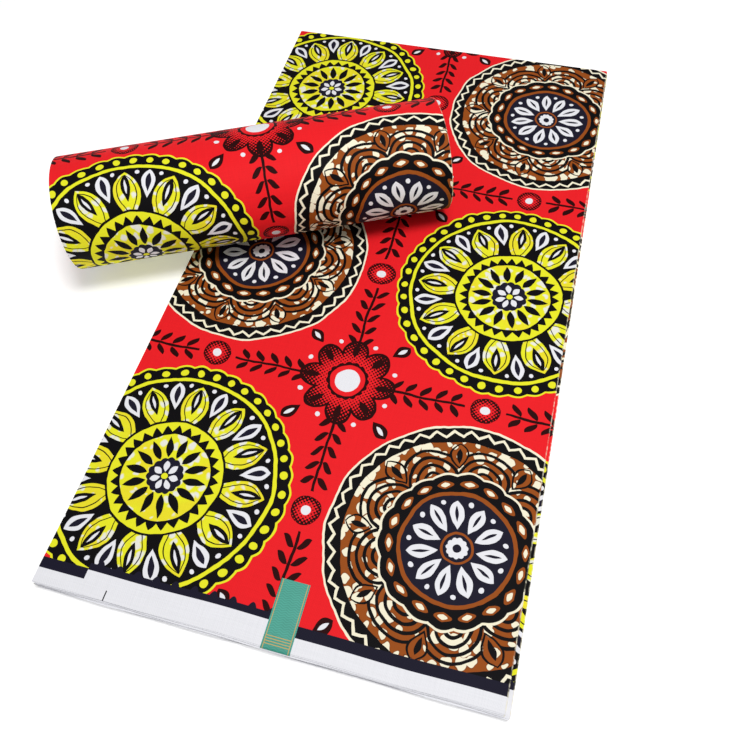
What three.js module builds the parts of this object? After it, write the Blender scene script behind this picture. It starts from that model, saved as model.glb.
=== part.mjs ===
// Two equal lengths of printed wax cotton. Each is doubled selvage to selvage and folded to and fro into a stack.
// One stack lies flat with a seal label round its front edge, and the other is rolled up and lies askew across it.
// Millimetres. +X runs along the front selvages, +Y from the selvages to the doubled edge, and +Z is up.
import * as THREE from "three";

const INCH = 25.4;
const YARD = 36 * INCH;
const TURN = 2 * Math.PI;

// The cloth as cut.
const CLOTH_WIDTH = 45 * INCH;
const CLOTH_LENGTH = 3 * YARD;
const FOLDS = 9;

// The flat stack.
const PANEL_WIDTH = CLOTH_LENGTH / FOLDS;
const PANEL_DEPTH = CLOTH_WIDTH / 2;
const LAYER = 1.0; // a doubled layer lying loose, with the air in it
const SEAM_GAP = 0.3;
const PANEL_TOP = FOLDS * LAYER + SEAM_GAP;
const CORNER = 1.6;
const RIGHT_TAPER = 0.8; // share of the right-hand spread that is gone at the back
const EDGE_LEVELS = [0, 0.2, 0.5, 0.8]; // shares of a layer's height at which its edge is drawn
const ACROSS = [0, 0.25, 0.5, 0.75, 1]; // shares of a short side that have a point
const ALONG = [0, 0.125, 0.25, 0.375, 0.5, 0.625, 0.75, 0.875, 1]; // and of a long side

// How far each doubled layer reaches past the even edge, from the lowest layer up. Layers that share a side fold
// reach equally far there: 1-2, 3-4, 5-6 and 7-8 on the right, and 0-1, 2-3, 4-5 and 6-7 on the left.
const REACH = [
  { front: 0.6, back: -0.4, left: 0.3, right: -0.9 },
  { front: -0.3, back: 0.2, left: 0.3, right: 0.6 },
  { front: 0.9, back: 0.5, left: -0.6, right: 0.6 },
  { front: 0.2, back: -0.7, left: -0.6, right: 1.7 },
  { front: -0.6, back: 0.1, left: 0.7, right: 1.7 },
  { front: 0.5, back: 0.6, left: 0.7, right: 3.2 },
  { front: 1.2, back: -0.3, left: -0.4, right: 3.2 },
  { front: 0.8, back: 0.4, left: -0.4, right: 0 },
  { front: 0, back: 0, left: 0, right: 0 },
];

// The rolled stack.
const ROLL_LENGTH = 297;
const ROLL_WIDTH = 93;
const ROLL_HEIGHT = 81;
const ROLL_LAYER = 0.85; // a doubled layer drawn tight by the rolling
const ROLL_WALL = FOLDS * ROLL_LAYER;
const TURN_GAP = 0.8;
const SETTLED = 1.2; // how far the underside has sunk to a flat
const SETTLE_BLEND = 0.8;
const RAMP = 0.22; // share of a turn in which the wall moves in by its own thickness
const FLAP_ANGLE = THREE.MathUtils.degToRad(40); // from the lowest line back to the outer end
const SWEEP_STEP = THREE.MathUtils.degToRad(12);
const FINE_STEPS = 12; // steps of length measured in one step of the sweep
const FOLD_LEVELS = [0, 0.25, 0.75]; // shares of a side fold's height at which the roll's end is drawn
const END_ROUNDING = [0.45, 0.8]; // shares of the wall left at the first and second step from an end
const ROLL_X = 46.3;
const ROLL_Y = 325.9;
const ROLL_BEARING = THREE.MathUtils.degToRad(25.25);

// The seal label, folded down over the front edge of the top layer.
const LABEL_WIDTH = 19;
const LABEL_REACH = 42;
const LABEL_THICKNESS = 0.5;
const LABEL_LEFT = 155.5;

const cotton = new THREE.MeshStandardMaterial({ color: "#d8232b", roughness: 0.8, metalness: 0 });
const cottonBelow = new THREE.MeshStandardMaterial({ color: "#c9a227", roughness: 0.8, metalness: 0 });
const paper = new THREE.MeshStandardMaterial({ color: "#4fa190", roughness: 0.45, metalness: 0 });

// A closed body through rings of equal counts. The flat outline fills the first ring and the last.
function loft(rings, outline) {
  const count = outline.length;
  const last = (rings.length - 1) * count;
  const index = [];
  for (let ring = 0; ring < last; ring += count)
    for (let i = 0; i < count; i++) {
      const next = (i + 1) % count;
      index.push(ring + i, ring + next, ring + count + next);
      index.push(ring + i, ring + count + next, ring + count + i);
    }
  for (const [a, b, c] of THREE.ShapeUtils.triangulateShape(outline, []))
    index.push(c, b, a, last + a, last + b, last + c);
  const body = new THREE.BufferGeometry().setFromPoints(rings.flat());
  body.setIndex(index);
  body.computeVertexNormals();
  return body;
}

// The side folds of a stack, lowest first. Each takes in two layers, and one layer is left over at an end.
function sideFolds(firstPaired) {
  const folds = firstPaired > 0 ? [{ low: 0, layers: firstPaired }] : [];
  for (let low = firstPaired; low < FOLDS; low += 2) folds.push({ low, layers: Math.min(2, FOLDS - low) });
  return folds;
}

const RIGHT_FOLDS = sideFolds(1);
const LEFT_FOLDS = sideFolds(0);

// How far a rounded fold lies back from its foremost line, at a height above its underside.
function foldInset(above, height) {
  const radius = height / 2;
  return radius - Math.sqrt(Math.max(0, radius ** 2 - (above - radius) ** 2));
}

// The same for the side fold that a layer of the flat stack is in.
function sideInset(folds, layer, z) {
  const fold = folds.find(({ low, layers }) => layer < low + layers);
  return foldInset(z - fold.low * LAYER, fold.layers * LAYER);
}

// The outline of one layer of the flat stack at a height, anticlockwise from its front left corner.
function layerOutline(layer, z) {
  const reach = REACH[layer];
  const edge = foldInset(z - layer * LAYER, LAYER);
  const front = edge - reach.front;
  const back = PANEL_DEPTH + reach.back - edge;
  const left = sideInset(LEFT_FOLDS, layer, z) - reach.left;
  const widest = PANEL_WIDTH - sideInset(RIGHT_FOLDS, layer, z);
  const right = (share) => widest + reach.right * (1 - RIGHT_TAPER * share);
  const between = (from, to, share) => from + CORNER + (to - from - 2 * CORNER) * share;
  return [
    ...ACROSS.map((share) => new THREE.Vector2(between(left, right(0), share), front)),
    ...ALONG.map((share) => new THREE.Vector2(right(share), between(front, back, share))),
    ...ACROSS.map((share) => new THREE.Vector2(between(left, right(1), 1 - share), back)),
    ...ALONG.map((share) => new THREE.Vector2(left, between(front, back, 1 - share))),
  ];
}

// The layers from first to last as one body, raised by lift, with their rounded edges standing out from it.
function stack(first, last, lift) {
  const levels = [];
  for (let layer = first; layer <= last; layer++)
    for (const level of EDGE_LEVELS) levels.push({ layer, z: (layer + level) * LAYER });
  levels.push({ layer: last, z: (last + 1) * LAYER });
  const rings = levels.map(({ layer, z }) =>
    layerOutline(layer, z).map(({ x, y }) => new THREE.Vector3(x, y, z + lift)),
  );
  return loft(rings, layerOutline(first, first * LAYER));
}

// How many walls the rolled cloth has moved in by, at a number of turns from its outer end.
function wallsIn(turns) {
  const whole = Math.floor(turns);
  return whole + THREE.MathUtils.smoothstep(turns - whole, 1 - RAMP, 1);
}

// The middle of the rolled wall seen along the roll: x is towards the back, and y is up from what it rests on.
// The angle is 0 on the lowest line and grows over the front, the top and the back.
function wallMiddle(angle) {
  const moved = (ROLL_WALL + TURN_GAP) * wallsIn((angle + FLAP_ANGLE) / TURN);
  const wide = (ROLL_WIDTH - ROLL_WALL) / 2 - moved;
  const high = (ROLL_HEIGHT + SETTLED - ROLL_WALL) / 2 - moved;
  const clear = high * (1 - Math.cos(angle)) - SETTLED;
  const settled = (clear + Math.hypot(clear, SETTLE_BLEND)) / 2;
  return new THREE.Vector2(-wide * Math.sin(angle), ROLL_WALL / 2 + moved + settled);
}

// The angle at which the whole depth of the stack has been rolled in.
function innerEnd() {
  const step = SWEEP_STEP / FINE_STEPS;
  let angle = -FLAP_ANGLE;
  for (let rolled = 0; rolled < PANEL_DEPTH; angle += step)
    rolled += wallMiddle(angle).distanceTo(wallMiddle(angle + step));
  return angle;
}

// One end of the rolled wall, from its inner face to its outer one: how far along the roll, and how far out.
function wallEnd(folds) {
  const points = folds.flatMap(({ low, layers }) =>
    FOLD_LEVELS.map((share) => ({ out: (low + share * layers) * ROLL_LAYER, height: layers, share })),
  );
  points.push({ out: ROLL_WALL, height: folds.at(-1).layers, share: 1 });
  return points.map(({ out, height, share }) => {
    const inset = foldInset(share * height * ROLL_LAYER, height * ROLL_LAYER);
    return new THREE.Vector2(ROLL_LENGTH / 2 - inset, out - ROLL_WALL / 2);
  });
}

// The rolled stack, with its middle over the origin and +X along it.
function roll() {
  const right = wallEnd(RIGHT_FOLDS).reverse();
  const left = wallEnd(LEFT_FOLDS).map(({ x, y }) => new THREE.Vector2(-x, y));
  const section = [...right, ...left];
  const end = innerEnd();
  const steps = Math.round((end + FLAP_ANGLE) / SWEEP_STEP);
  const rings = [];
  for (let i = 0; i <= steps; i++) {
    const angle = -FLAP_ANGLE + ((end + FLAP_ANGLE) * i) / steps;
    const middle = wallMiddle(angle);
    const along = wallMiddle(angle + SWEEP_STEP / FINE_STEPS).sub(middle).normalize();
    const fullness = END_ROUNDING[Math.min(i, steps - i)] ?? 1;
    rings.push(
      section.map(({ x, y }) => {
        const out = y * fullness;
        return new THREE.Vector3(x, middle.x - along.y * out, middle.y + along.x * out);
      }),
    );
  }
  return loft(rings, section.map(({ x, y }) => new THREE.Vector2(x, -y)));
}

// The label's section, from its far end down over the cloth's edge and back along its underside.
function label() {
  const fold = LAYER / 2;
  const inner = fold + SEAM_GAP;
  const outer = inner + LABEL_THICKNESS;
  const z = PANEL_TOP - fold;
  const section = new THREE.Shape();
  section.moveTo(LABEL_REACH, z + outer);
  section.absarc(fold, z, outer, Math.PI / 2, Math.PI, false);
  section.lineTo(fold - outer, z - fold);
  section.lineTo(fold - inner, z - fold);
  section.absarc(fold, z, inner, Math.PI, Math.PI / 2, true);
  section.lineTo(LABEL_REACH, z + inner);
  return new THREE.ExtrudeGeometry(section, { depth: LABEL_WIDTH, bevelEnabled: false, curveSegments: 4 });
}

// Adds a named mesh to the group and gives it back to be placed.
function piece(group, name, geometry, material) {
  const mesh = new THREE.Mesh(geometry, material);
  mesh.name = name;
  group.add(mesh);
  return mesh;
}

const cloth = new THREE.Group();
piece(cloth, "panel_under_layers", stack(0, FOLDS - 2, 0), cottonBelow);
piece(cloth, "panel_top_layer", stack(FOLDS - 1, FOLDS - 1, SEAM_GAP), cotton);

const rolled = piece(cloth, "rolled_length", roll(), cotton);
rolled.position.set(ROLL_X, ROLL_Y, PANEL_TOP + SEAM_GAP);
rolled.rotation.z = ROLL_BEARING;

const seal = piece(cloth, "seal_label", label(), paper);
seal.position.x = LABEL_LEFT;
seal.rotation.set(Math.PI / 2, Math.PI / 2, 0);

// The origin is under the middle of everything, on the surface that it lies on.
const middle = new THREE.Box3().setFromObject(cloth, true).getCenter(new THREE.Vector3());
cloth.position.set(-middle.x, -middle.y, 0);

const part = new THREE.Group();
part.add(cloth);

export default part;
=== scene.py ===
# A wax print cloth in two lengths. Each is doubled selvage to selvage and folded to and fro into a stack of
# nine. One stack, the panel, lies flat with a seal sticker over its front edge. The other is rolled up and
# lies askew across it.
import math
from collections import namedtuple

import bpy
import numpy as np
from mathutils import Matrix, Vector


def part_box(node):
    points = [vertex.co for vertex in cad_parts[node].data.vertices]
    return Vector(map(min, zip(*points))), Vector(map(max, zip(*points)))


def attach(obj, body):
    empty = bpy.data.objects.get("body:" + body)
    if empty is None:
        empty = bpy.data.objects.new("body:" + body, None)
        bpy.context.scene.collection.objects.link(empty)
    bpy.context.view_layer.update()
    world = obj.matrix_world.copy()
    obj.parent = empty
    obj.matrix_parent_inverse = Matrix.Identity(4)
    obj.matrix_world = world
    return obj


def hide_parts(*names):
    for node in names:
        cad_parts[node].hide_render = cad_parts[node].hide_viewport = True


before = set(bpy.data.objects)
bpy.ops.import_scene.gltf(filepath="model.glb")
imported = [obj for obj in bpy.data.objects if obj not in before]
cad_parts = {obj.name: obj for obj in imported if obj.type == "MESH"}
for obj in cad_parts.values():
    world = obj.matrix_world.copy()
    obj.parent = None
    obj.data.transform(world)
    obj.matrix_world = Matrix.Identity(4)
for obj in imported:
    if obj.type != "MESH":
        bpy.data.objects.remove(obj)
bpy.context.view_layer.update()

# ------------------------------------------------------------------------------------------------------------
# Sizes, in millimetres. The panel's own frame has its origin at the front left corner, with x along the front
# selvages, y towards the doubled edge, and z up from what the panel lies on.

MM = 0.001
TURN = 2 * math.pi

CLOTH_WIDTH = 1143.0       # 45 inches from selvage to selvage
THREADS = 0.28             # the cloth's own thickness
FOLDS = 9
TOP = FOLDS - 1            # the top layer, counted from 0 at the bottom

PANEL_WIDTH = 304.8        # a ninth of three yards
PANEL_DEPTH = CLOTH_WIDTH / 2
LAYER = 1.0                # a doubled layer lying loose
SEAM_GAP = 0.3             # between the top layer and those below
PANEL_TOP = FOLDS * LAYER + SEAM_GAP
RIGHT_TAPER = 0.8          # share of the right-hand spread that is gone at the back

# How far each doubled layer reaches past the even edge, from the lowest layer up.
Reach = namedtuple("Reach", "front back left right")
REACH = [
    Reach(0.6, -0.4, 0.3, -0.9),
    Reach(-0.3, 0.2, 0.3, 0.6),
    Reach(0.9, 0.5, -0.6, 0.6),
    Reach(0.2, -0.7, -0.6, 1.7),
    Reach(-0.6, 0.1, 0.7, 1.7),
    Reach(0.5, 0.6, 0.7, 3.2),
    Reach(1.2, -0.3, -0.4, 3.2),
    Reach(0.8, 0.4, -0.4, 0.0),
    Reach(0.0, 0.0, 0.0, 0.0),
]

# The rolled length. Angles are 0 on its lowest line and grow over the front, the top and the back.
ROLL_LENGTH = 297.0
ROLL_WIDTH = 93.0
ROLL_HEIGHT = 81.0
ROLL_LAYER = 0.85          # a doubled layer drawn tight by the rolling
ROLL_WALL = FOLDS * ROLL_LAYER
TURN_GAP = 0.8
SETTLED = 1.2              # how far the underside has sunk to a flat
SETTLE_BLEND = 0.8
RAMP = 0.22                # share of a turn in which the wall moves in by its own thickness
FLAP_ANGLE = math.radians(40)
ROLL_X = 46.3
ROLL_Y = 325.9
ROLL_BEARING = math.radians(25.25)

# The seal sticker.
SEAL_WIDTH = 19.0
SEAL_REACH = 42.0
SEAL_LEFT = 155.5
SEAL_THICKNESS = 0.12
SEAL_EDGE = 0.9            # where it starts to bend over the front edge

CORNER = Vector((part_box("panel_top_layer")[0].x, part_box("panel_top_layer")[0].y, 0))


def from_panel(x, y, z):
    """A point given in the panel's own frame, in metres in the part's frame."""
    return CORNER + Vector((x, y, z)) * MM


# ------------------------------------------------------------------------------------------------------------
# Nodes.

def srgb(text):
    """A sRGB hex colour as linear RGBA."""
    channels = [int(text[i : i + 2], 16) / 255 for i in (1, 3, 5)]
    return (*[c / 12.92 if c <= 0.04045 else ((c + 0.055) / 1.055) ** 2.4 for c in channels], 1.0)


def add(tree, kind, *values, **named):
    """Adds a node, such as "Math.ADD", and gives its first output. The values or links of its inputs come in
    their order or, with a capital, by name. The other names are its settings."""
    kind, _, operation = kind.partition(".")
    node = tree.nodes.new("ShaderNode" + kind)
    if operation:
        node.operation = operation
    for name, value in named.items():
        if name[0].islower():
            setattr(node, name, value)
    inputs = list(zip([socket for socket in node.inputs if socket.enabled], values))
    for name, value in named.items():
        if name[0].isupper():
            inputs.append((node.inputs[name.replace("_", " ")], value))
    for socket, value in inputs:
        if isinstance(value, bpy.types.NodeSocket):
            tree.links.new(value, socket)
        else:
            socket.default_value = value
    return next((socket for socket in node.outputs if socket.enabled), None)


def new_material(name):
    """An empty node material and its tree."""
    material = bpy.data.materials.new(name)
    material.use_nodes = True
    material.node_tree.nodes.clear()
    return material, material.node_tree


def surface(tree, **inputs):
    """Ends a material's tree in one Principled surface with these inputs."""
    add(tree, "OutputMaterial", Surface=add(tree, "BsdfPrincipled", **inputs))


# ------------------------------------------------------------------------------------------------------------
# Floor, light and camera.

FLOOR_SIZE = 8                       # metres
FLOOR_GLOW = 0.28                    # lifts the paper to a clean white
PAPER = "#fafafa"
WHITE = "#ffffff"
SKY_STRENGTH = 0.36
SKY_SEEN = 0.64                      # as pale as the far floor
SOFTBOX_PLACE = (369, 156, 1300)     # in the panel's frame, as is what it is turned to
SOFTBOX_TARGET = (170, 300, 0)
SOFTBOX_SIZE = 0.4                   # metres
SOFTBOX_POWER = 12.2                 # watts
EYE = (257.3, -54.9, PANEL_TOP + 466.6)    # the camera, in the panel's frame
EYE_AZIMUTH = math.radians(19.37)
EYE_ELEVATION = math.radians(59.38)
EYE_TILT = math.radians(4.93)        # the camera leans to the right by this
SENSOR = 36                          # as wide as this, in millimetres, as is the focal length
LENS = 36.19


def white_floor():
    """A seamless sheet of white paper, matt, so that it takes only soft shadows."""
    bpy.ops.mesh.primitive_plane_add(size=FLOOR_SIZE, location=(0, 0, 0))
    floor = bpy.context.object
    floor.name = "floor"
    material, tree = new_material("matt white paper")
    surface(
        tree, Base_Color=srgb(PAPER), Roughness=0.9, Specular_IOR_Level=0.1,
        Emission_Color=srgb(WHITE), Emission_Strength=FLOOR_GLOW,
    )
    floor.data.materials.append(material)


def studio_light():
    """A softbox above the stack, a little to the front and the right, in a pale sky that is seen brighter
    than it lights."""
    world = bpy.data.worlds.new("studio")
    world.use_nodes = True
    tree = world.node_tree
    tree.nodes.clear()
    strength = add(tree, "MapRange", add(tree, "LightPath"), 0.0, 1.0, SKY_STRENGTH, SKY_SEEN)
    add(tree, "OutputWorld", Surface=add(tree, "Background", srgb(WHITE), strength))
    bpy.context.scene.world = world
    data = bpy.data.lights.new("softbox", "AREA")
    data.size = SOFTBOX_SIZE
    data.energy = SOFTBOX_POWER
    light = bpy.data.objects.new("softbox", data)
    bpy.context.scene.collection.objects.link(light)
    light.location = from_panel(*SOFTBOX_PLACE)
    aim = from_panel(*SOFTBOX_TARGET) - light.location
    light.rotation_euler = aim.to_track_quat("-Z", "Y").to_euler()


def make_camera():
    """The camera, in front of the panel and above it, turned to its far end."""
    data = bpy.data.cameras.new("camera")
    data.sensor_width = SENSOR
    data.lens = LENS
    camera = bpy.data.objects.new("camera", data)
    bpy.context.scene.collection.objects.link(camera)
    turned = (
        Matrix.Rotation(EYE_AZIMUTH, 4, "Z")
        @ Matrix.Rotation(math.pi / 2 - EYE_ELEVATION, 4, "X")
        @ Matrix.Rotation(-EYE_TILT, 4, "Z")
    )
    camera.matrix_world = Matrix.Translation(from_panel(*EYE)) @ turned
    bpy.context.scene.camera = camera


# ------------------------------------------------------------------------------------------------------------
# The print's motifs, in millimetres on the "cloth" UV map: x runs along the selvages, from the cut end that
# shows, and y across the cloth, from one selvage to the other.

PITCH = 203.2              # between medallions, eight inches
FIRST_X = 55.0             # the first medallion's centre
FIRST_Y = 88.0
BERRY = 10.6               # radius of the small rounds half way between rosettes
BERRY_EYE = 3.4

INKS = {
    "red": "#eb1f26",
    "yellow": "#e9e829",
    "gold": "#efcb32",
    "brown": "#984d19",
    "umber": "#713608",
    "navy": "#1b192a",
    "black": "#0a080b",
    "white": "#e9e9ee",
    "cream": "#f5eed3",
    "maroon": "#2a0506",
}

# A motif's rows are painted in their order, all round its centre.
# Disc: everything within a radius, with a wave of so many bows ("scallops" or "teeth") and such a depth.
# Leaves: a ring of leaves whose middles are at a distance, with half their length and width. turned is 0.5
# for a ring that stands half a step further round. full makes the outer half fuller, round is 1 for pointed
# and 2 for rounded, and edge is the width of the line round each.
# Arcs: a ring of fans, each of lines a pitch apart round a point at a distance, out to a size. line is the
# share of the pitch that is inked.
Disc = namedtuple("Disc", "radius ink bows depth wave", defaults=(0, 0, "scallops"))
Leaves = namedtuple("Leaves", "count turned at long wide full round edge edge_ink ink")
Arcs = namedtuple("Arcs", "count turned at size pitch line ink")

SUN = [
    Disc(86.9, "yellow", 40, 1.7),
    Disc(85.4, "black", 40, 1.7),
    Leaves(40, 0.5, 82.0, 2.7, 2.8, 0, 2, 0, "yellow", "yellow"),
    Disc(77.5, "yellow"),
    Disc(74.8, "black"),
    Leaves(12, 0.5, 62.4, 10.9, 4.9, 0.5, 1, 0, "white", "white"),
    Leaves(12, 0.5, 63.3, 7.0, 2.1, 0.3, 1, 0, "navy", "navy"),
    Leaves(24, 0.5, 70.9, 1.6, 1.6, 0, 2, 0, "white", "white"),
    Leaves(12, 0, 52.6, 20.2, 11.3, 0.25, 1, 1.6, "black", "yellow cloud"),
    Leaves(12, 0, 54.0, 15.4, 7.4, 0.25, 1, 0.8, "black", "yellow cloud"),
    Leaves(12, 0, 58.6, 10.6, 3.4, 0.2, 1, 0, "black", "black"),
    Leaves(12, 0, 59.2, 5.5, 1.0, 0, 1, 0, "white", "white"),
    Disc(42.2, "black"),
    Disc(40.5, "yellow"),
    Disc(32.8, "black", 28, 5.3, "teeth"),
    Disc(31.1, "yellow cloud"),
    Leaves(14, 0, 21.7, 7.9, 2.8, -0.3, 1, 0, "black", "black"),
    Disc(12.6, "navy", 14, 1.1),
    Leaves(7, 0, 7.0, 3.9, 2.2, 0.2, 1, 0, "white", "white"),
    Disc(2.4, "yellow"),
]

SHELL = [
    Disc(87.1, "cream"),
    Disc(85.6, "black"),
    Disc(80.3, "cream", 44, 4.0, "teeth"),
    Disc(78.2, "black", 44, 4.0, "teeth"),
    Disc(75.2, "brown cloud"),
    Arcs(9, 0, 47.9, 24.0, 5.2, 0.42, "black"),
    Leaves(9, 0.5, 64.4, 10.0, 6.6, 0.3, 1, 1.5, "black", "brown cloud"),
    Leaves(9, 0.5, 64.4, 6.0, 2.0, 0.2, 1, 0, "black", "black"),
    Disc(50.3, "cream", 18, 1.9),
    Disc(48.8, "black", 18, 1.9),
    Leaves(18, 0.5, 43.7, 2.8, 5.8, 0, 1, 0, "cream", "brown"),
    Leaves(18, 0.5, 43.7, 1.6, 3.2, 0, 1, 0, "cream", "cream"),
    Disc(38.5, "brown"),
    Disc(35.8, "navy"),
    Leaves(11, 0, 21.9, 10.4, 4.5, 0.35, 1, 0, "white", "white"),
    Leaves(11, 0, 22.6, 5.8, 1.0, 0.2, 1, 0, "navy", "navy"),
    Leaves(11, 0.5, 30.9, 1.7, 1.7, 0, 2, 0, "white", "white"),
    Disc(10.2, "brown"),
    Disc(8.7, "navy"),
    Disc(6.0, "white", 11, 0.9),
    Disc(2.6, "navy"),
]

ROSETTE = [
    Leaves(4, 0.5, 46.4, 7.8, 4.6, 0.35, 1, 0, "maroon", "maroon"),
    Leaves(4, 0.5, 47.2, 4.2, 1.5, 0, 1, 0, "white", "white"),
    Leaves(4, 0, PITCH / 2, BERRY, BERRY, 0, 2, 0, "maroon", "stippled"),
    Leaves(4, 0, PITCH / 2, BERRY_EYE, BERRY_EYE, 0, 2, 0, "white", "white"),
    Leaves(8, 0.5, 34.5, 1.8, 1.8, 0, 2, 0, "white", "white"),
    Leaves(8, 0, 21.4, 14.2, 9.9, 0.15, 2, 1.6, "maroon", "stippled"),
    Leaves(8, 0, 26.0, 6.4, 2.4, 0.2, 1, 0, "maroon", "maroon"),
    Disc(14.6, "maroon", 16, 1.3),
    Disc(13.2, "red"),
    Disc(9.6, "white"),
]

# A straight sprig runs each way from a rosette: where it starts and ends, its stalk's half width, and its
# leaves' spacing, lean, middle, half length and half width.
Sprig = namedtuple("Sprig", "start end stalk pitch lean leaf_at leaf_long leaf_wide")
SPRIG = Sprig(32.0, 87.0, 1.0, 11.0, 0.75, 5.4, 4.4, 2.9)


class Print:
    """Draws the motifs round one centre. far and turn are how far from there a point is, and its direction
    as a share of a turn."""

    def __init__(self, tree, inks, x, y):
        self.tree, self.inks, self.spokes = tree, inks, {}
        self.far = add(tree, "VectorMath.LENGTH", add(tree, "CombineXYZ", x, y))
        self.turn = add(tree, "Math.DIVIDE", add(tree, "Math.ARCTAN2", y, x), TURN)

    def spoke(self, count, turned):
        """How far out a point is along the nearest of so many spokes, and how far to its side."""
        key = (count, turned)
        if key not in self.spokes:
            share = add(self.tree, "Math.MULTIPLY_ADD", self.turn, float(count), turned)
            share = add(self.tree, "Math.PINGPONG", share, 0.5)
            angle = add(self.tree, "Math.MULTIPLY", share, TURN / count)
            along = add(self.tree, "Math.MULTIPLY", self.far, add(self.tree, "Math.COSINE", angle))
            aside = add(self.tree, "Math.MULTIPLY", self.far, add(self.tree, "Math.SINE", angle))
            self.spokes[key] = along, aside
        return self.spokes[key]

    def paint(self, colour, where, ink):
        """Puts an ink over the colour where the given value is 1."""
        return add(self.tree, "Mix", where, colour, self.inks[ink], data_type="RGBA")

    def disc(self, colour, row):
        """Paints all that is within an edge, even or wavy."""
        edge = row.radius
        if row.bows and row.wave == "scallops":
            share = add(self.tree, "Math.MULTIPLY", self.turn, math.pi * row.bows)
            bow = add(self.tree, "Math.ABSOLUTE", add(self.tree, "Math.SINE", share))
            edge = add(self.tree, "Math.MULTIPLY_ADD", bow, row.depth, row.radius)
        elif row.bows:
            share = add(self.tree, "Math.MULTIPLY", self.turn, float(row.bows))
            bow = add(self.tree, "Math.PINGPONG", share, 0.5)
            edge = add(self.tree, "Math.MULTIPLY_ADD", bow, 2 * row.depth, row.radius)
        return self.paint(colour, add(self.tree, "Math.LESS_THAN", self.far, edge), row.ink)

    def leaves(self, colour, row):
        """Paints a ring of leaves, each with its line."""
        along, aside = self.spoke(row.count, row.turned)
        # The place along a leaf is -1 and 1 at its tips, and is worked out to half as far again.
        reach = 1.5
        low, high = row.at - reach * row.long, row.at + reach * row.long
        place = add(self.tree, "MapRange", along, low, high, -reach, reach)
        body = add(self.tree, "Math.SUBTRACT", 1.0, add(self.tree, "Math.MULTIPLY", place, place))
        if row.full:
            fuller = add(self.tree, "Math.MULTIPLY_ADD", place, row.full, 1.0)
            body = add(self.tree, "Math.MULTIPLY", body, fuller)
        side = add(self.tree, "Math.DIVIDE", aside, row.wide)
        if row.round == 2:
            side = add(self.tree, "Math.MULTIPLY", side, side)
        inside = add(self.tree, "Math.SUBTRACT", body, side)
        if row.edge:
            colour = self.paint(colour, add(self.tree, "Math.GREATER_THAN", inside, 0.0), row.edge_ink)
        line = row.round * row.edge / row.wide
        return self.paint(colour, add(self.tree, "Math.GREATER_THAN", inside, line), row.ink)

    def arcs(self, colour, row):
        """Paints a ring of fans."""
        along, aside = self.spoke(row.count, row.turned)
        out = add(self.tree, "Math.SUBTRACT", along, row.at)
        away = add(self.tree, "VectorMath.LENGTH", add(self.tree, "CombineXYZ", out, aside))
        wave = add(self.tree, "Math.FRACT", add(self.tree, "Math.DIVIDE", away, row.pitch))
        line = add(self.tree, "Math.LESS_THAN", wave, row.line)
        where = add(self.tree, "Math.MULTIPLY", line, add(self.tree, "Math.LESS_THAN", away, row.size))
        return self.paint(colour, where, row.ink)

    def sprig(self, colour, row, ink):
        """Paints a stalk along each of four spokes, and its leaves in pairs."""
        along, aside = self.spoke(4, 0)
        middle = (row.start + row.end) / 2
        within = add(self.tree, "Math.COMPARE", along, middle, (row.end - row.start) / 2)
        stalk = add(self.tree, "Math.LESS_THAN", aside, row.stalk)
        # Each pair of leaves leans outwards from the stalk.
        step = add(self.tree, "Math.MULTIPLY_ADD", aside, -row.lean, along)
        step = add(self.tree, "Math.SUBTRACT", step, row.start)
        step = add(self.tree, "Math.PINGPONG", step, row.pitch / 2)
        across = add(self.tree, "Math.SUBTRACT", aside, row.leaf_at)
        across = add(self.tree, "Math.DIVIDE", across, row.leaf_long)
        thin = add(self.tree, "Math.DIVIDE", step, row.leaf_wide)
        leaf = add(self.tree, "Math.MULTIPLY_ADD", across, across, thin)
        either = add(self.tree, "Math.MAXIMUM", stalk, add(self.tree, "Math.LESS_THAN", leaf, 1.0))
        return self.paint(colour, add(self.tree, "Math.MULTIPLY", either, within), ink)

    def draw(self, colour, rows):
        """Paints a motif's rows over the colour."""
        for row in rows:
            colour = {Disc: self.disc, Leaves: self.leaves, Arcs: self.arcs}[type(row)](colour, row)
        return colour


# ------------------------------------------------------------------------------------------------------------
# The printed cotton, in millimetres on the same map. Four numbers, as in CROWDING, are a range: what a
# pattern's value runs from and to, and what it is turned into at each.

DRAWN_WANDER = [(26, 1.5), (5, 0.3)]    # over how far the drawn lines wander, and by how much
BUBBLE_WANDER = [(5, 1.6)]

BUBBLE = 8.0                            # between the bubbles in the dye
CROWD = 26.0                            # between the places where they crowd
CROWDING = (0.3, 0.7, 0.34, 0.62)       # how large they grow, as a share of BUBBLE
GOLDEN = (0.5, 0.4, 0.0, 0.35)          # how far the yellow leans to gold where they don't crowd
PALE_IN_YELLOW = (0.18, 0.32, 0.0, 0.85)    # how pale a bubble is, from its rim inwards
PALE_IN_BROWN = (0.13, 0.16, 0.0, 1.0)
DYE_LINE = 0.11                         # where a darker line of dye stands outside each bubble
DYE_LINE_HALF = 0.02

STIPPLE = 1.5                           # between the rows of dots, drawn coarser than real, to show
STIPPLE_LEVEL = (0.85, -0.88)           # from small dark dots, within, to small red dots, at the rim
STIPPLED = (13.0, 33.0)                 # where that starts and ends in a rosette

SELVAGE = 9.5                           # the unprinted edge
SELVAGE_BAND = 16.5                     # where the solid band beside it ends
BARE_REPEAT = 400.0                     # how often the bare ground comes further in along the selvage
BARE_MIDDLE = 98.0
BARE_LENGTH = 132.0
BARE_DEPTH = 6.2
BARE_STEP = 3.6                         # how much further in the band goes there
KNOB_PITCH = 13.0                       # bumps on the band there
KNOB_HEIGHT = 3.0
KNOB_FALL = 0.4                         # how steeply their sides curve
# Where a short cut in the bare edge is drawn as a black line of painted shade.
SNIP_SHADE_AT = 49.5
SNIP_SHADE_WIDTH = 0.8
SNIP_SHADE_LENGTH = 6.4

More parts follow.
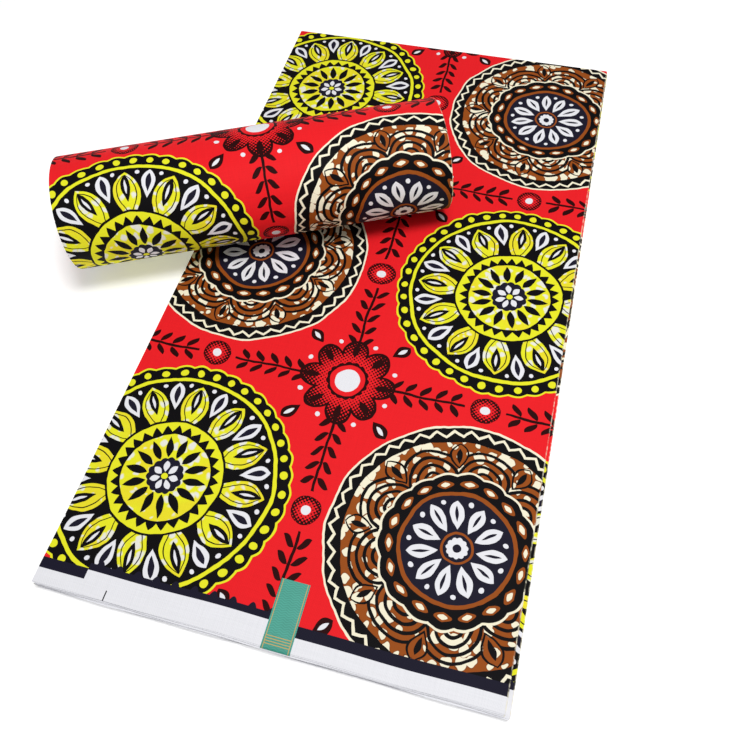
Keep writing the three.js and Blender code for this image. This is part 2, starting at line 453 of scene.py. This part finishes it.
RUBBED_AND_HIGHLIT_SCALE = 0.35                     # paler places along the folds, in a millimetre: dye come off, and painted highlight on the fold edges
RUBBED_AND_HIGHLIT = (0.42, 0.6, 0.1, 0.6)
SLUB_LENGTH = 22.0                      # thick places in the yarn, drawn wider than the real 0.3 mm
SLUB_WIDTH = 0.9
SLUB_TONE = (0.6, 1.4, 0.97, 1.03)
WEAVE = 0.9                             # real threads are 0.3 mm apart, too fine to show, so drawn coarser
WEAVE_DEPTH = 0.1


def wandered(tree, place, wander):
    """The place, moved about softly."""
    moved = place
    for size, reach in wander:
        noise = add(
            tree, "TexNoise", place, Scale=1 / size, Detail=0.0, normalize=False, noise_dimensions="2D"
        )
        shift = add(tree, "VectorMath.SCALE", noise.node.outputs["Color"], Scale=reach)
        moved = add(tree, "VectorMath.ADD", moved, shift)
    return moved


def lattice(tree, x, y, first_x, first_y):
    """Where a point is from the nearest point of the square lattice, and that point's column and row."""
    found = []
    for value, first in ((x, first_x), (y, first_y)):
        moved = add(tree, "Math.SUBTRACT", value, first)
        cell = add(tree, "Math.ROUND", add(tree, "Math.DIVIDE", moved, PITCH))
        found += [add(tree, "Math.MULTIPLY_ADD", cell, -PITCH, moved), cell]
    return found[0], found[2], found[1], found[3]


def bubbled_inks(tree, place, inks):
    """Mixes the yellow and the brown that are dyed through the wax. Pale bubbles crowd where it held."""
    crowd = add(tree, "TexNoise", place, Scale=1 / CROWD, Detail=1.0, noise_dimensions="2D")
    uneven = wandered(tree, place, BUBBLE_WANDER)
    bubble = add(tree, "TexVoronoi", uneven, Scale=1 / BUBBLE, voronoi_dimensions="2D")
    bubbles = add(tree, "Math.SUBTRACT", add(tree, "MapRange", crowd, *CROWDING), bubble)

    golden = add(tree, "MapRange", crowd, *GOLDEN)
    golden = add(tree, "Mix", golden, inks["yellow"], inks["gold"], data_type="RGBA")
    pale = add(tree, "MapRange", bubbles, *PALE_IN_YELLOW)
    inks["yellow cloud"] = add(tree, "Mix", pale, golden, inks["white"], data_type="RGBA")

    rim = add(tree, "Math.COMPARE", bubbles, DYE_LINE, DYE_LINE_HALF)
    dark = add(tree, "Mix", rim, inks["brown"], inks["umber"], data_type="RGBA")
    pale = add(tree, "MapRange", bubbles, *PALE_IN_BROWN)
    inks["brown cloud"] = add(tree, "Mix", pale, dark, inks["cream"], data_type="RGBA")


def stippled_ink(tree, drawn, rosette, inks):
    """Mixes the ink of rosettes and berries: outwards from the middle dark dots grow on the red, until only
    red dots are left on the dark."""
    along, aside = rosette.spoke(4, 0)
    along = add(tree, "Math.SUBTRACT", along, PITCH / 2)
    from_berry = add(tree, "VectorMath.LENGTH", add(tree, "CombineXYZ", along, aside))
    levels = [
        add(tree, "MapRange", out, start, end, *STIPPLE_LEVEL)
        for out, (start, end) in ((rosette.far, STIPPLED), (from_berry, (BERRY_EYE, BERRY)))
    ]
    dots = add(tree, "VectorMath.SINE", add(tree, "VectorMath.SCALE", drawn, Scale=math.pi / STIPPLE))
    dots = add(tree, "SeparateXYZ", dots).node.outputs
    dots = add(tree, "Math.MULTIPLY", dots["X"], dots["Y"])
    left_red = add(tree, "Math.LESS_THAN", dots, add(tree, "Math.MAXIMUM", *levels))
    inks["stippled"] = add(tree, "Mix", left_red, inks["maroon"], inks["red"], data_type="RGBA")


def drawn_motifs(tree, drawn, inks):
    """The red ground with its medallions, and rosettes and sprigs between them."""
    spot = add(tree, "SeparateXYZ", drawn).node.outputs
    dx, dy, _, _ = lattice(tree, spot["X"], spot["Y"], FIRST_X + PITCH / 2, FIRST_Y + PITCH / 2)
    rosette = Print(tree, inks, dx, dy)
    stippled_ink(tree, drawn, rosette, inks)
    ground = rosette.sprig(inks["red"], SPRIG, "maroon")
    ground = rosette.draw(ground, ROSETTE)

    dx, dy, column, row = lattice(tree, spot["X"], spot["Y"], FIRST_X, FIRST_Y)
    medallion = Print(tree, inks, dx, dy)
    odd = add(tree, "Math.FLOORED_MODULO", add(tree, "Math.ADD", column, row), 2.0)
    sun = medallion.draw(ground, SUN)
    shell = medallion.draw(ground, SHELL)
    return add(tree, "Mix", odd, sun, shell, data_type="RGBA")


def drawn_selvage(tree, place, colour, inks):
    """A solid band, and outside it the bare edge, which has one short cut, drawn as a black line of painted
    shade where its opening would show dark. For a stretch of each repeat the bare ground comes further in,
    and the band is a narrow line with bumps."""
    spot = add(tree, "SeparateXYZ", place).node.outputs
    x, y = spot["X"], spot["Y"]
    from_edge = add(tree, "Math.PINGPONG", y, CLOTH_WIDTH / 2)
    stretch = add(tree, "Math.WRAP", x, BARE_REPEAT, 0.0)
    wider = add(tree, "Math.COMPARE", stretch, BARE_MIDDLE, BARE_LENGTH / 2)
    knob = add(tree, "Math.POWER", add(tree, "Math.PINGPONG", x, KNOB_PITCH / 2), 2.0)
    knob = add(tree, "Math.MULTIPLY_ADD", knob, -KNOB_FALL, KNOB_HEIGHT)
    knob = add(tree, "Math.MAXIMUM", knob, 0.0)
    band = add(tree, "Math.MULTIPLY_ADD", knob, wider, SELVAGE_BAND)
    band = add(tree, "Math.MULTIPLY_ADD", wider, BARE_STEP, band)
    bare = add(tree, "Math.MULTIPLY_ADD", wider, BARE_DEPTH, SELVAGE)
    for edge, ink in ((band, "navy"), (bare, "white")):
        inside = add(tree, "Math.LESS_THAN", from_edge, edge)
        colour = add(tree, "Mix", inside, colour, inks[ink], data_type="RGBA")
    # Painted shade: a black line where the cut would open and show dark.
    snip_shade = add(tree, "Math.COMPARE", x, SNIP_SHADE_AT, SNIP_SHADE_WIDTH / 2)
    snip_shade = add(tree, "Math.MULTIPLY", snip_shade, add(tree, "Math.LESS_THAN", y, SNIP_SHADE_LENGTH))
    return add(tree, "Mix", snip_shade, colour, inks["black"], data_type="RGBA")


def worn_highlit_and_uneven(tree, place, colour, inks):
    """Here and there along the folds the cloth is paler: the dye has come off, and a painted highlight lies
    where the fold edges catch the light. The yarn is uneven, in streaks along and across, so that no ink is
    quite one flat colour."""
    rubbed_and_highlit = add(tree, "TexNoise", place, Scale=RUBBED_AND_HIGHLIT_SCALE, Detail=1.0, noise_dimensions="2D")
    rubbed_and_highlit = add(tree, "MapRange", rubbed_and_highlit, *RUBBED_AND_HIGHLIT)
    fold = add(tree, "Attribute", attribute_name="fold").node.outputs["Fac"]
    # Painted highlight along the folds, together with dye that has come off: the folds go towards cream where
    # the noise says.
    worn_and_highlit = add(tree, "Math.MULTIPLY", rubbed_and_highlit, fold)
    colour = add(tree, "Mix", worn_and_highlit, colour, inks["cream"], data_type="RGBA")

    streaks = []
    for along, across in ((SLUB_LENGTH, SLUB_WIDTH), (SLUB_WIDTH, SLUB_LENGTH)):
        stretched = add(tree, "VectorMath.MULTIPLY", place, (1 / along, 1 / across, 0))
        streaks.append(add(tree, "TexNoise", stretched, Scale=1.0, Detail=1.0, noise_dimensions="2D"))
    tone = add(tree, "MapRange", add(tree, "Math.ADD", *streaks), *SLUB_TONE)
    return add(tree, "VectorMath.SCALE", colour, Scale=tone)


def plain_weave(tree, place):
    """The bump of a plain weave: each thread passes over one and under the next."""
    threads = add(tree, "VectorMath.SINE", add(tree, "VectorMath.SCALE", place, Scale=math.pi / WEAVE))
    threads = add(tree, "SeparateXYZ", threads).node.outputs
    height = add(tree, "Math.MULTIPLY", threads["X"], threads["Y"])
    return add(tree, "Bump", Strength=0.4, Distance=WEAVE_DEPTH * MM, Height=height)


def printed_cotton():
    """Wax print: plain woven cotton, dyed through a cracked wax resist and then printed, and calendered. The
    eye gets flat strong inks with a slightly unsteady edge, pale bubbles where the wax held, a fine weave and
    a soft sheen."""
    material, tree = new_material("wax-resist printed cotton")
    place = add(tree, "VectorMath.SCALE", add(tree, "UVMap", uv_map="cloth"), Scale=1 / MM)
    drawn = wandered(tree, place, DRAWN_WANDER)
    inks = {name: srgb(code) for name, code in INKS.items()}
    bubbled_inks(tree, place, inks)
    colour = drawn_motifs(tree, drawn, inks)
    colour = drawn_selvage(tree, place, colour, inks)
    colour = worn_highlit_and_uneven(tree, place, colour, inks)
    bump = plain_weave(tree, place)
    surface(tree, Base_Color=colour, Roughness=0.6, Specular_IOR_Level=0.07, Normal=bump)
    return material


# ------------------------------------------------------------------------------------------------------------
# Folded cloth. A stack is one sheet: its path goes to and fro from the top layer down, and the sheet is
# doubled over that path, so that it lies on both sides of it and turns round at the doubled edge.

ARC_STEPS = 7
TURNED_IN = 0.98   # share of a layer at which the cloth that shows gives way to the hidden cloth
CLOSE = 0.001      # shares nearer than this are the same
SMOOTH_BELOW = math.radians(50)    # edges that are less sharp are shaded smooth

Path = namedtuple("Path", "x z nx nz layer s")
Doubling = namedtuple("Doubling", "share side past q")


def even_shares(count):
    """Evenly spread shares of a side, and those at which the cloth that shows gives way."""
    return sorted({*np.linspace(0, 1, count), 1 - TURNED_IN, TURNED_IN})


def folded_path(width, pitch, top_gap, shares):
    """The path of a folded stack seen from the front: its points, their normals to the outer side, the layer
    that each is in, and how far along the cloth it is. Shares say where a layer has points, from the left."""
    half = pitch / 4 + THREADS / 2
    level = [(layer + 0.5) * pitch + (top_gap if layer == TOP else 0) for layer in range(FOLDS)]
    points = []
    for layer in range(TOP, -1, -1):
        rightwards = (TOP - layer) % 2 == 0
        above = (level[layer + 1] - level[layer]) / 2 + half if layer < TOP else 0
        below = (level[layer] - level[layer - 1]) / 2 + half if layer else 0
        left, right = (above, width - below) if rightwards else (below, width - above)
        normal = 1 if rightwards else -1
        for share in shares if rightwards else reversed(shares):
            points.append((left + (right - left) * share, level[layer], 0, normal, layer))
        if layer:
            radius = (level[layer] - level[layer - 1]) / 2
            centre = right if rightwards else left
            for step in range(1, ARC_STEPS):
                angle = math.pi / 2 - normal * math.pi * step / ARC_STEPS
                out_x, out_z = math.cos(angle), math.sin(angle)
                points.append((
                    centre + radius * out_x, level[layer] - radius + radius * out_z,
                    normal * out_x, normal * out_z, layer - step / ARC_STEPS,
                ))
    x, z, nx, nz, layer = np.array(points).T
    s = np.concatenate([[0], np.cumsum(np.hypot(np.diff(x), np.diff(z)))])
    return Path(x, z, nx, nz, layer, s)


def doubled_over(shares, depth, half):
    """The points across the cloth: the share of the stack's depth, the side of the path, how far past the
    doubled edge in half gaps, and how far across the cloth."""
    there = [(share, 1, 0, share * depth) for share in shares]
    turn = [math.pi * step / ARC_STEPS for step in range(1, ARC_STEPS)]
    round_it = [(1, math.cos(a), math.sin(a), depth + a * half) for a in turn]
    back = [(share, -1, 0, (2 - share) * depth + math.pi * half) for share in reversed(shares)]
    return Doubling(*np.array(there + round_it + back).T)


def end_of_top(path, width):
    """How far along the cloth is when it has turned in under the top layer's fold."""
    return path.s[(path.layer == TOP - 1) & (path.x < width * (TURNED_IN + CLOSE))][0]


def shown_faces(path, across, last_s, last_q):
    """Which faces of the grid belong to the cloth that shows."""
    middle_s = (path.s[:-1] + path.s[1:])[:, None] / 2
    middle_q = (across.q[:-1] + across.q[1:])[None, :] / 2
    return (middle_s < last_s) & (middle_q < last_q)


def cloth_piece(name, points, path, across, q, keep, material):
    """A piece of cloth on a grid of points in the panel's frame, where keep says so for each face. Its UV map
    gives the place along the cloth and, from q, across it, in metres. "fold" is 1 where it is folded."""
    points = points + np.array(CORNER) / MM
    uv = np.stack(np.broadcast_arrays(path.s[:, None], q[None, :]), axis=-1)
    fold = (path.layer % 1 > 0)[:, None] | (across.past > 0)[None, :]
    rows, columns, _ = points.shape
    index = np.arange(rows * columns).reshape(rows, columns)
    faces = np.stack([index[:-1, :-1], index[1:, :-1], index[1:, 1:], index[:-1, 1:]], axis=-1)[keep]
    used, faces = np.unique(faces, return_inverse=True)
    faces = faces.reshape(-1, 4)
    mesh = bpy.data.meshes.new(name)
    mesh.from_pydata((points.reshape(-1, 3)[used] * MM).tolist(), [], faces.tolist())
    layer = mesh.uv_layers.new(name="cloth")
    layer.data.foreach_set("uv", (uv.reshape(-1, 2)[used][faces.ravel()] * MM).ravel())
    folded = mesh.attributes.new("fold", "FLOAT", "POINT")
    folded.data.foreach_set("value", fold.ravel()[used].astype(float))
    mesh.materials.append(material)
    piece = bpy.data.objects.new(name, mesh)
    bpy.context.scene.collection.objects.link(piece)
    bpy.ops.object.select_all(action="DESELECT")
    piece.select_set(True)
    bpy.context.view_layer.objects.active = piece
    solid = piece.modifiers.new("threads", "SOLIDIFY")
    solid.thickness = THREADS * MM
    solid.offset = 0
    bpy.ops.object.modifier_apply(modifier=solid.name)
    bpy.ops.object.shade_smooth_by_angle(angle=SMOOTH_BELOW)
    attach(piece, "root")
    return piece


# Soft unevenness: place, bearing in degrees, length, width and height.
Ridge = namedtuple("Ridge", "x y bearing length width height")


def relief(ridges, x, y):
    """How far the cloth is raised by its unevenness."""
    height = np.zeros(np.broadcast(x, y).shape)
    for ridge in ridges:
        turn = math.radians(ridge.bearing)
        along = (x - ridge.x) * math.cos(turn) + (y - ridge.y) * math.sin(turn)
        aside = (y - ridge.y) * math.cos(turn) - (x - ridge.x) * math.sin(turn)
        height += ridge.height * np.exp(-((2 * along / ridge.length) ** 2) - (2 * aside / ridge.width) ** 2)
    return height


# Slow waves: height, length, and phase at the cut end.
Wave = namedtuple("Wave", "height length start")


def waves(rows, s):
    """How far a line runs out from straight."""
    return sum(row.height * np.sin(TURN * s / row.length + row.start) for row in rows)


# ------------------------------------------------------------------------------------------------------------
# The panel.

PANEL_RIDGES = [
    Ridge(70, 120, 12, 220, 34, 0.35),
    Ridge(215, 60, -20, 180, 30, -0.3),
    Ridge(150, 250, 80, 260, 40, 0.3),
    Ridge(255, 300, 95, 200, 26, 0.4),
    Ridge(60, 430, -15, 200, 30, 0.35),
    Ridge(230, 480, 10, 220, 34, -0.3),
]
UPPER_SELVAGE = [Wave(0.3, 190, 0.4), Wave(0.2, 83, 1.9)]
LOWER_SELVAGE = [Wave(0.35, 230, 2.2), Wave(0.2, 71, 0)]
LOWER_OUT = 0.5        # how far the lower selvage runs out past the upper one
CORNER_LIFT = 1.4      # of the front left corner
CORNER_REACH = 34
LIFTED = 2             # layers


def reach_of(layer, side):
    """A side's reach, between whole layers too, as in the folds."""
    return np.interp(layer, np.arange(FOLDS), [getattr(reach, side) for reach in REACH])


def panel_points(path, across):
    """The flat stack's points, in the panel's frame."""
    half = LAYER / 4
    x, z, nx, nz, layer, s = (column[:, None] for column in path)
    share, side, past, _ = (row[None, :] for row in across)
    selvage = np.where(side > 0, waves(UPPER_SELVAGE, s), waves(LOWER_SELVAGE, s) + LOWER_OUT)
    front = -reach_of(layer, "front") - selvage
    back = PANEL_DEPTH + reach_of(layer, "back") - half - THREADS / 2
    y = front + share * (back - front) + past * half
    sideways = x / PANEL_WIDTH
    spread = sideways * reach_of(layer, "right") * (1 - RIGHT_TAPER * share)
    x = x + spread - (1 - sideways) * reach_of(layer, "left") + nx * side * half
    lift = np.maximum(0, layer - TOP + LIFTED) / LIFTED * CORNER_LIFT
    lift = lift * np.exp(-(np.hypot(x, y) / CORNER_REACH) ** 2)
    z = z + nz * side * half + relief(PANEL_RIDGES, x, y) * layer / TOP + lift
    return np.stack(np.broadcast_arrays(x, y, z), axis=-1)


def panel_sheet(name, material, wide_count, deep_count, shows):
    """One piece of the flat stack, with its size and what it stands for."""
    path = folded_path(PANEL_WIDTH, LAYER, SEAM_GAP, even_shares(wide_count))
    across = doubled_over(even_shares(deep_count), PANEL_DEPTH, LAYER / 4)
    last_s = end_of_top(path, PANEL_WIDTH)
    last_q = across.q[(across.side == -1) & (across.share < TURNED_IN + CLOSE)][0]
    on_top = shown_faces(path, across, last_s, last_q)
    keep = on_top if shows else ~on_top
    piece = cloth_piece(name, panel_points(path, across), path, across, across.q, keep, material)
    if shows:
        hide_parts("panel_top_layer")
    else:
        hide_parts("panel_under_layers", "panel_top_layer")


def panel_cloth(material):
    """The flat stack in two pieces: the cloth that shows on top, and all that lies below it."""
    panel_sheet("panel_top_cloth", material, wide_count=90, deep_count=160, shows=True)
    panel_sheet("panel_under_cloth", material, wide_count=41, deep_count=31, shows=False)


# ------------------------------------------------------------------------------------------------------------
# The rolled length.

# In these x is along the roll and y is how far the cloth is rolled up from its outer end.
ROLL_RIDGES = [
    Ridge(40, 96, 12, 130, 30, 0.45),
    Ridge(128, 150, -8, 180, 34, -0.4),
    Ridge(222, 112, 15, 150, 28, 0.4),
    Ridge(268, 172, 70, 100, 26, -0.4),
    Ridge(84, 214, -20, 150, 34, 0.45),
    Ridge(196, 236, 6, 170, 30, -0.35),
]
STAGGER = 0.8                        # how far each layer's selvages lie outside those of the layer above
SHOWN_TURN = math.radians(360 + 25)  # of the roll's outermost cloth
NUDGE = 1e-3                         # radians, for the direction of the wall

# How the layers' side folds stand in and out at the roll's ends: height, pace round the roll and from one
# layer to the next.
EndWave = namedtuple("EndWave", "height pace step")
END_WAVES = [EndWave(0.35, 0.8, 1.3), EndWave(0.25, 2.3, 1.0)]


def wall_middle(angle):
    """The middle of the rolled wall seen along the roll: towards the back, and up from what it rests on."""
    turns = (angle + FLAP_ANGLE) / TURN
    whole = np.floor(turns)
    ramp = np.clip((turns - whole - 1 + RAMP) / RAMP, 0, 1)
    moved = (ROLL_WALL + TURN_GAP) * (whole + ramp * ramp * (3 - 2 * ramp))
    wide = (ROLL_WIDTH - ROLL_WALL) / 2 - moved
    high = (ROLL_HEIGHT + SETTLED - ROLL_WALL) / 2 - moved
    clear = high * (1 - np.cos(angle)) - SETTLED
    settled = (clear + np.hypot(clear, SETTLE_BLEND)) / 2
    return np.stack([-wide * np.sin(angle), ROLL_WALL / 2 + moved + settled], axis=-1)


# Angles round the roll, from before its outer end to past its inner one, and how much cloth is rolled up
# from its outer end to each.
SWEEP = np.radians(np.arange(-60, 1400, 0.5))
STEPS = np.linalg.norm(np.diff(wall_middle(SWEEP), axis=0), axis=1)
ROLLED = np.concatenate([[0], np.cumsum(STEPS)])
ROLLED -= np.interp(-FLAP_ANGLE, SWEEP, ROLLED)


def roll_points(path, across):
    """The rolled stack's points, in the panel's frame."""
    half = ROLL_LAYER / 4
    x, z, nx, nz, layer, _ = (column[:, None] for column in path)
    share, side, past, _ = (row[None, :] for row in across)
    stagger = STAGGER * (TOP - layer) * (1 - share)
    rolled = share * PANEL_DEPTH + past * half - stagger
    angle = np.interp(rolled, ROLLED, SWEEP)
    middle = wall_middle(angle)
    ahead = wall_middle(angle + NUDGE) - middle
    ahead /= np.linalg.norm(ahead, axis=-1, keepdims=True)
    out = z - ROLL_WALL / 2 + nz * side * half
    # The outer turn is uneven, but for its flat underside.
    uneven = np.clip(2 - (angle + FLAP_ANGLE) / TURN, 0, 1) * (1 - np.cos(angle)) / 2
    out = out + relief(ROLL_RIDGES, x, rolled) * uneven
    from_middle = 2 * x / ROLL_LENGTH - 1
    ends = sum(wave.height * np.sin(wave.pace * angle + wave.step * layer) for wave in END_WAVES)
    along = x + nx * side * half - ROLL_LENGTH / 2 + from_middle * ends
    lateral = middle[..., 0] - ahead[..., 1] * out
    height = middle[..., 1] + ahead[..., 0] * out
    cos, sin = math.cos(ROLL_BEARING), math.sin(ROLL_BEARING)
    x = ROLL_X + along * cos - lateral * sin
    y = ROLL_Y + along * sin + lateral * cos
    z = PANEL_TOP + SEAM_GAP + height
    return np.stack(np.broadcast_arrays(x, y, z), axis=-1)


def roll_sheet(name, material, wide_count, step, shows):
    """One piece of the rolled stack, with its size and what it stands for."""
    last_share = np.interp(SHOWN_TURN - FLAP_ANGLE, SWEEP, ROLLED) / PANEL_DEPTH
    deep = np.interp(np.arange(-FLAP_ANGLE, SWEEP[-1], step), SWEEP, ROLLED) / PANEL_DEPTH
    wide = even_shares(wide_count)
    path = folded_path(ROLL_LENGTH, ROLL_LAYER, 0, wide)
    across = doubled_over(sorted({*deep[deep < 1], 1.0, last_share}), PANEL_DEPTH, ROLL_LAYER / 4)
    last_s = end_of_top(path, ROLL_LENGTH)
    last_q = last_share * PANEL_DEPTH
    outermost = shown_faces(path, across, last_s, last_q)
    points = roll_points(path, across)
    if shows:
        # The outer face runs further round than the wall's middle, and the print isn't stretched.
        lengths = np.linalg.norm(np.diff(points[len(wide) // 2], axis=0), axis=1)
        q = np.concatenate([[0], np.cumsum(lengths)])
    else:
        q = across.q
    piece = cloth_piece(name, points, path, across, q, outermost if shows else ~outermost, material)
    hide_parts("rolled_length")


def rolled_cloth(material):
    """The rolled stack in two pieces: the outermost cloth, and all that is inside it."""
    roll_sheet("roll_outer_cloth", material, wide_count=80, step=math.radians(2.5), shows=True)
    roll_sheet("roll_inner_cloth", material, wide_count=5, step=math.radians(9), shows=False)


# ------------------------------------------------------------------------------------------------------------
# The seal sticker.

SEAL_ABOVE = 8                       # how far above the cloth it starts, before it is pressed onto it
SEAL_COLUMNS = 9
SEAL_ROWS = 21
SEAL_FRONT_ROW = 0.1                 # points nearer than this to the front edge are on it
SEAL_SMOOTH_BELOW = math.radians(40)
SEAL_INKS = {
    "teal": "#3c9684",
    "light teal": "#48a795",
    "dark teal": "#1f6f62",
    "gold": "#c2a45c",
}
GOLD_BORDER = 1.3                    # its two side lines, from the sticker's edges
GOLD_RUNGS = (2.2, 3.8, 5.4, 7.0)    # the lines across it, from its front edge
GOLD_LINE = 0.5
FINE_LINES = 1.5                     # between the fine wavy lines that fill the rest
FINE_WAVE = 5.0
FINE_EDGE = (0.1, 0.5, 0.0, 1.0)
HANDLED_SCALE = 0.12                 # places that are a little darker, in a millimetre
HANDLED = (0.4, 0.65, 0.0, 0.12)
FRONT_SHADE = (0.0, 9.0, 0.22, 0.0)  # painted shade: how much darker it is towards its front edge

# The steps in which it goes over the front edge, forwards and down.
SEAL_FOLD = [(0.9, 0.0), (0.5, 0.06), (0.4, 0.24), (0.15, 0.3), (0.0, 0.25)]


def seal_film():
    """Printed paper seal with a clear film over it: teal, filled with fine wavy lines of a lighter teal, with
    thin gold lines beside and across it, and a little gloss."""
    material, tree = new_material("film-laminated printed seal")
    inks = {name: srgb(code) for name, code in SEAL_INKS.items()}
    place = add(tree, "VectorMath.SCALE", add(tree, "UVMap", uv_map="sticker"), Scale=1 / MM)
    spot = add(tree, "SeparateXYZ", place).node.outputs
    bend = add(tree, "Math.SINE", add(tree, "Math.MULTIPLY", spot["X"], TURN / FINE_WAVE))
    bent = add(tree, "Math.MULTIPLY_ADD", bend, FINE_LINES / 3, spot["Y"])
    fine = add(tree, "MapRange", add(tree, "Math.PINGPONG", bent, FINE_LINES / 2), *FINE_EDGE)
    colour = add(tree, "Mix", fine, inks["light teal"], inks["teal"], data_type="RGBA")

    handled_and_shaded = add(tree, "TexNoise", place, Scale=HANDLED_SCALE, Detail=2.0, noise_dimensions="2D")
    handled_and_shaded = add(tree, "MapRange", handled_and_shaded, *HANDLED)
    # Painted shade: darker towards the front edge, on top of the darker places.
    handled_and_shaded = add(tree, "Math.ADD", handled_and_shaded, add(tree, "MapRange", spot["Y"], *FRONT_SHADE))
    colour = add(tree, "Mix", handled_and_shaded, colour, inks["dark teal"], data_type="RGBA")

    from_side = add(tree, "Math.PINGPONG", spot["X"], SEAL_WIDTH / 2)
    gold = add(tree, "Math.COMPARE", from_side, GOLD_BORDER, GOLD_LINE / 2)
    between = add(tree, "Math.GREATER_THAN", from_side, GOLD_BORDER)
    for rung in GOLD_RUNGS:
        line = add(tree, "Math.COMPARE", spot["Y"], rung, GOLD_LINE / 2)
        gold = add(tree, "Math.MAXIMUM", gold, add(tree, "Math.MULTIPLY", line, between))
    colour = add(tree, "Mix", gold, colour, inks["gold"], data_type="RGBA")
    surface(tree, Base_Color=colour, Roughness=0.38, Specular_IOR_Level=0.3)
    return material


def press_onto(piece, below):
    """Projects a piece straight down onto another, to lie on its upper face."""
    wrap = piece.modifiers.new("press", "SHRINKWRAP")
    wrap.target = below
    wrap.wrap_method = "PROJECT"
    wrap.use_project_z = True
    wrap.use_negative_direction = True
    wrap.use_positive_direction = False
    wrap.offset = SEAL_THICKNESS / 2 * MM
    bpy.ops.object.modifier_apply(modifier=wrap.name)


def fold_over_front(piece):
    """Goes on from a flat piece's front edge with rows of faces, forwards and down."""
    mesh = piece.data
    points = [vertex.co.copy() for vertex in mesh.vertices]
    faces = [tuple(polygon.vertices) for polygon in mesh.polygons]
    front = min(point.y for point in points) + SEAL_FRONT_ROW * MM
    row = sorted((i for i, point in enumerate(points) if point.y < front), key=lambda i: points[i].x)
    for forwards, down in SEAL_FOLD:
        step = Vector((0, -forwards, -down)) * MM
        following = [len(points) + i for i in range(len(row))]
        points += [points[i] + step for i in row]
        for left, right, next_left, next_right in zip(row, row[1:], following, following[1:]):
            faces.append((next_left, next_right, right, left))
        row = following
    mesh.clear_geometry()
    mesh.from_pydata(points, [], faces)


def seal_label():
    """A thin sticker pressed onto the top of the stack and folded down over the front edge."""
    bpy.ops.object.select_all(action="DESELECT")
    above = from_panel(SEAL_LEFT + SEAL_WIDTH / 2, (SEAL_REACH + SEAL_EDGE) / 2, PANEL_TOP + SEAL_ABOVE)
    bpy.ops.mesh.primitive_grid_add(
        x_subdivisions=SEAL_COLUMNS, y_subdivisions=SEAL_ROWS, size=1, location=above
    )
    seal = bpy.context.object
    seal.name = "seal_label_film"
    seal.scale = (SEAL_WIDTH * MM, (SEAL_REACH - SEAL_EDGE) * MM, 1)
    bpy.ops.object.transform_apply(location=True, rotation=False, scale=True)
    press_onto(seal, bpy.data.objects["panel_top_cloth"])
    fold_over_front(seal)
    uv = seal.data.uv_layers.new(name="sticker")
    corner = from_panel(SEAL_LEFT, 0, 0)
    for loop in seal.data.loops:
        uv.data[loop.index].uv = (seal.data.vertices[loop.vertex_index].co - corner).xy
    seal.data.materials.append(seal_film())
    solid = seal.modifiers.new("film", "SOLIDIFY")
    solid.thickness = SEAL_THICKNESS * MM
    solid.offset = 1
    bpy.ops.object.modifier_apply(modifier=solid.name)
    bpy.ops.object.shade_smooth_by_angle(angle=SEAL_SMOOTH_BELOW)
    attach(seal, "root")
    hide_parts("seal_label")


make_camera()
white_floor()
studio_light()
cotton = printed_cotton()
panel_cloth(cotton)
rolled_cloth(cotton)
seal_label()

bpy.context.scene.view_settings.view_transform = "Standard"
